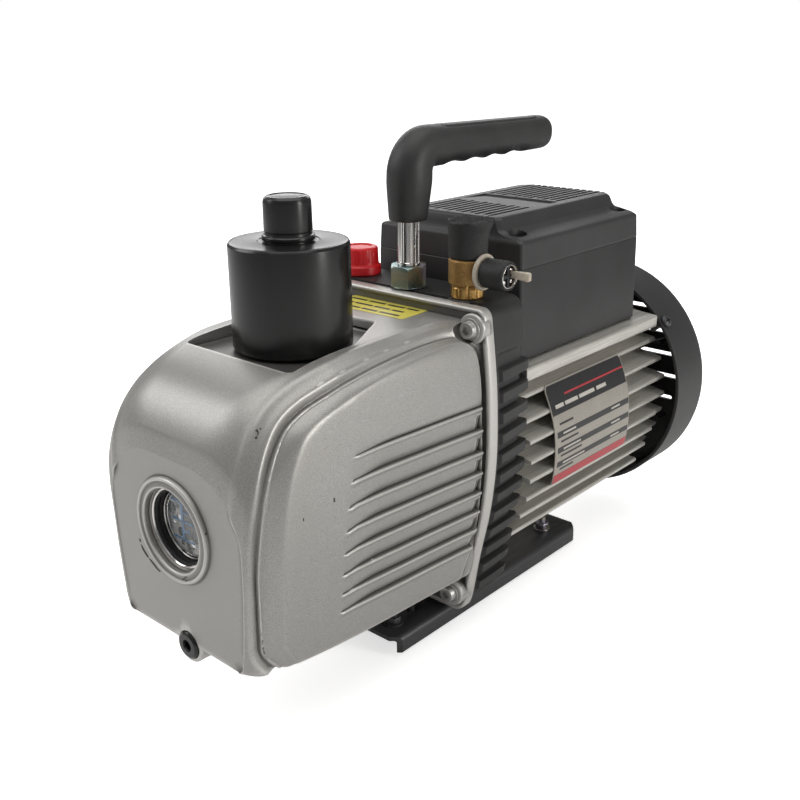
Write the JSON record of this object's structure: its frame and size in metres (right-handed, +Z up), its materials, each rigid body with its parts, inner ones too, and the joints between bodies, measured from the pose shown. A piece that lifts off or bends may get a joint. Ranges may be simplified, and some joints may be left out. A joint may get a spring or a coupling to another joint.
{
  "type": "rotary vane vacuum pump",
  "caption": "Portable rotary vane vacuum pump with a finned motor, an oil tank with a sight glass, an exhaust filter, a brass intake fitting and an L-shaped carrying handle.",
  "frame": {"origin": "on the ground plane under the rubber feet, below the middle of the overall bounding box", "axes": "+Z up; -Y towards the sight glass at the front of the oil tank; +Y towards the fan cover; +X towards the side with the brass fitting and its side port"},
  "size_m": [0.1592, 0.3946, 0.2824],
  "materials": {
    "silver_paint": "silver metallic paint on a casting, fine flake, small chips",
    "black_paint": "satin black paint on a casting",
    "black_plastic": "black moulded plastic, slight sheen",
    "box_plastic": "charcoal moulded plastic, fine texture",
    "rubber": "black rubber",
    "fin_aluminium": "extruded aluminium, warm grey",
    "aluminium": "cast aluminium",
    "steel": "machined steel",
    "zinc": "zinc plated, light iridescence",
    "brass": "cast and turned brass",
    "red_plastic": "red moulded plastic",
    "nylon": "natural nylon",
    "glass": "clear lens",
    "copper": "enamelled copper wire",
    "carbon": "self-lubricating composite",
    "filter_media": "fibre filter media",
    "plate_label": null,
    "steel_black": "black powder coat on bent steel"
  },
  "bodies": {
    "pump": {"base_plate": "steel_black", "rubber_foot_fl": "rubber", "rubber_foot_fr": "rubber", "rubber_foot_rl": "rubber", "rubber_foot_rr": "rubber", "oil_tank": "silver_paint", "tank_gasket": "rubber", "tank_screw_tl": "steel", "tank_screw_tr": "steel", "tank_screw_bl": "steel", "tank_screw_br": "steel", "sight_glass_bezel": "steel", "sight_glass_oring": "rubber", "sight_glass_lens": "glass", "pump_body": "black_paint", "pump_cylinder": "steel", "stage_end_plate": "steel", "valve_stop": "steel", "shaft_seal": "rubber", "motor_housing": "fin_aluminium", "stator_core": "steel", "stator_windings": "copper", "front_bearing": "steel", "rear_bearing": "steel", "front_shield": "aluminium", "rear_shield": "aluminium", "fan_cover": "black_plastic", "cover_screw_right": "steel", "cover_screw_left": "steel", "cover_screw_bottom": "steel", "terminal_box": "box_plastic", "terminal_box_lid": "box_plastic", "lid_screw_fl": "steel", "lid_screw_fr": "steel", "lid_screw_rl": "steel", "lid_screw_rr": "steel", "run_capacitor": "black_plastic", "power_entry_module": "black_plastic", "handle_stem": "zinc", "handle_grip": "rubber", "intake_fitting": "brass", "cap_tether_ring": "nylon", "rating_plate": "plate_label"},
    "shaft": {"pump_rotor": "steel", "vane_spring_a": "steel", "vane_spring_b": "steel", "shaft_coupling": "aluminium", "motor_rotor": "steel", "cooling_fan": "black_plastic"},
    "vane_a_body": {"vane_a": "carbon"},
    "vane_b_body": {"vane_b": "carbon"},
    "reed": {"discharge_reed": "steel"},
    "rocker": {"power_rocker": "red_plastic"},
    "exhaust_filter": {"exhaust_filter_housing": "black_plastic", "filter_element": "filter_media"},
    "outlet_cap": {"exhaust_outlet_cap": "black_plastic"},
    "oil_cap": {"oil_fill_cap": "red_plastic"},
    "intake_cover": {"intake_cap": "rubber"},
    "side_cover": {"side_port_cap": "rubber"},
    "drain": {"drain_plug": "black_plastic"}
  },
  "joints": [
    {"name": "shaft_spin", "type": "hinge", "parent": "pump", "child": "shaft", "pos_m": [0, 0, 0.1], "axis": [0, 1, 0], "continuous": true},
    {"name": "vane_a_slide", "type": "slide", "parent": "shaft", "child": "vane_a_body", "axis": [-1, 0, 0], "range_m": [0, 0.0015]},
    {"name": "vane_b_slide", "type": "slide", "parent": "shaft", "child": "vane_b_body", "axis": [1, 0, 0], "range_m": [0, 0.0015]},
    {"name": "reed_lift", "type": "hinge", "parent": "pump", "child": "reed", "pos_m": [-0.0032, -0.05475, 0.1373], "axis": [0, -1, 0], "range_deg": [0, 5]},
    {"name": "power_switch", "type": "hinge", "parent": "pump", "child": "rocker", "pos_m": [0.022, 0.13745, 0.195], "axis": [1, 0, 0], "range_deg": [-22, 0]},
    {"name": "filter_removal", "type": "slide", "parent": "pump", "child": "exhaust_filter", "axis": [0, 0, 1], "range_m": [0, 0.03]},
    {"name": "outlet_cap_removal", "type": "slide", "parent": "exhaust_filter", "child": "outlet_cap", "axis": [0, 0, 1], "range_m": [0, 0.02]},
    {"name": "oil_cap_removal", "type": "slide", "parent": "pump", "child": "oil_cap", "axis": [0, 0, 1], "range_m": [0, 0.025]},
    {"name": "intake_cap_removal", "type": "slide", "parent": "pump", "child": "intake_cover", "axis": [0, 0, 1], "range_m": [0, 0.02]},
    {"name": "side_cap_removal", "type": "slide", "parent": "pump", "child": "side_cover", "axis": [1, 0, 0], "range_m": [0, 0.022]},
    {"name": "drain_plug_removal", "type": "slide", "parent": "pump", "child": "drain", "axis": [0, -1, 0], "range_m": [0, 0.022]}
  ]
}
